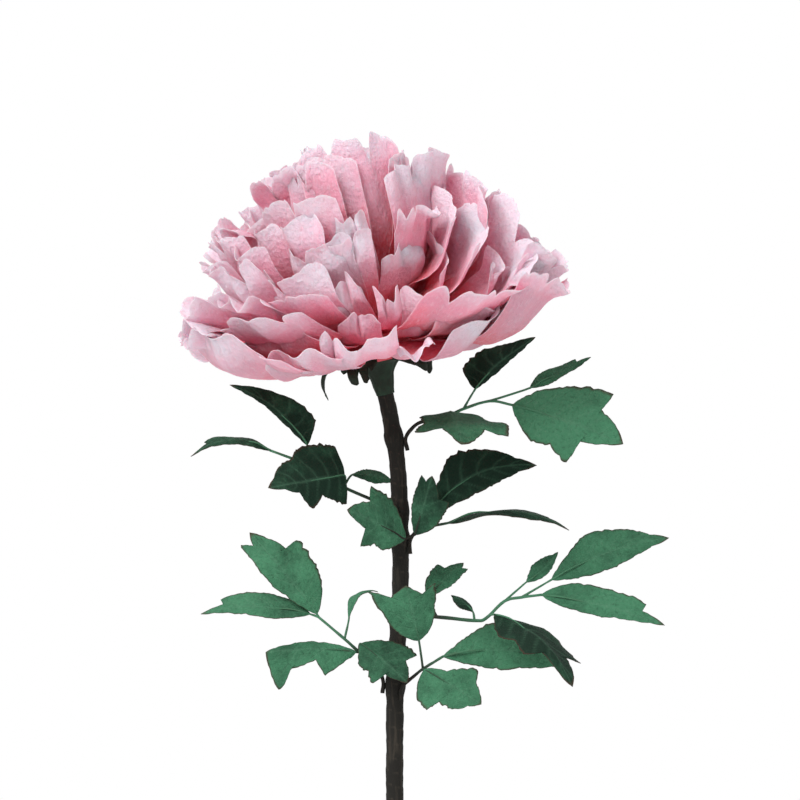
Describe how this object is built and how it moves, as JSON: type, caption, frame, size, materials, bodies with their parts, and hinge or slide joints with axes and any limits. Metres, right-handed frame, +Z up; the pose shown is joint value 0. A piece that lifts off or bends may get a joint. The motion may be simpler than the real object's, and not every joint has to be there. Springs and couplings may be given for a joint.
{
  "type": "crepe paper peony on a pole",
  "caption": "Oversized crepe paper peony: a domed head of layered, notched petals on a slender taped pole, with sprays of lobed paper leaves below it.",
  "frame": {"origin": "centre of the pole's cut lower end, on its flat face", "axes": "+Z up along the pole towards the flower, +X to the right and -Y towards the viewer in the picture"},
  "size_m": [0.3823, 0.2893, 1.1621],
  "materials": {
    "petal_crepe": "matt crinkled crepe paper, pale pink at the tips and coral red at the base",
    "leaf_paper": "matt green paper with faint veins, dark at the edges",
    "calyx_paper": "matt dark green paper",
    "pole_tape": "matt dark brown paper tape wrapped over a rod",
    "core_wadding": "covered with matt red paper"
  },
  "bodies": {
    "root": {"calyx_collar": "calyx_paper", "flower_core": "core_wadding", "leaf_spray_front": "leaf_paper", "leaf_spray_lower_left": "leaf_paper", "leaf_spray_lower_right": "leaf_paper", "leaf_spray_middle_right": "leaf_paper", "leaf_spray_upper_left": "leaf_paper", "leaf_spray_upper_right": "leaf_paper", "petal_01": "petal_crepe", "petal_02": "petal_crepe", "petal_03": "petal_crepe", "petal_04": "petal_crepe", "petal_05": "petal_crepe", "petal_06": "petal_crepe", "petal_07": "petal_crepe", "petal_08": "petal_crepe", "petal_09": "petal_crepe", "petal_10": "petal_crepe", "petal_11": "petal_crepe", "petal_12": "petal_crepe", "petal_13": "petal_crepe", "petal_14": "petal_crepe", "petal_15": "petal_crepe", "petal_16": "petal_crepe", "petal_17": "petal_crepe", "petal_18": "petal_crepe", "petal_19": "petal_crepe", "petal_20": "petal_crepe", "petal_21": "petal_crepe", "petal_22": "petal_crepe", "petal_23": "petal_crepe", "petal_24": "petal_crepe", "petal_25": "petal_crepe", "petal_26": "petal_crepe", "petal_27": "petal_crepe", "petal_28": "petal_crepe", "petal_29": "petal_crepe", "petal_30": "petal_crepe", "petal_31": "petal_crepe", "petal_32": "petal_crepe", "petal_33": "petal_crepe", "petal_34": "petal_crepe", "petal_35": "petal_crepe", "petal_36": "petal_crepe", "petal_37": "petal_crepe", "petal_38": "petal_crepe", "petal_39": "petal_crepe", "petal_40": "petal_crepe", "petal_41": "petal_crepe", "petal_42": "petal_crepe", "petal_43": "petal_crepe", "pole": "pole_tape", "sepal_1": "calyx_paper", "sepal_2": "calyx_paper", "sepal_3": "calyx_paper", "sepal_4": "calyx_paper", "sepal_5": "calyx_paper"}
  },
  "joints": []
}
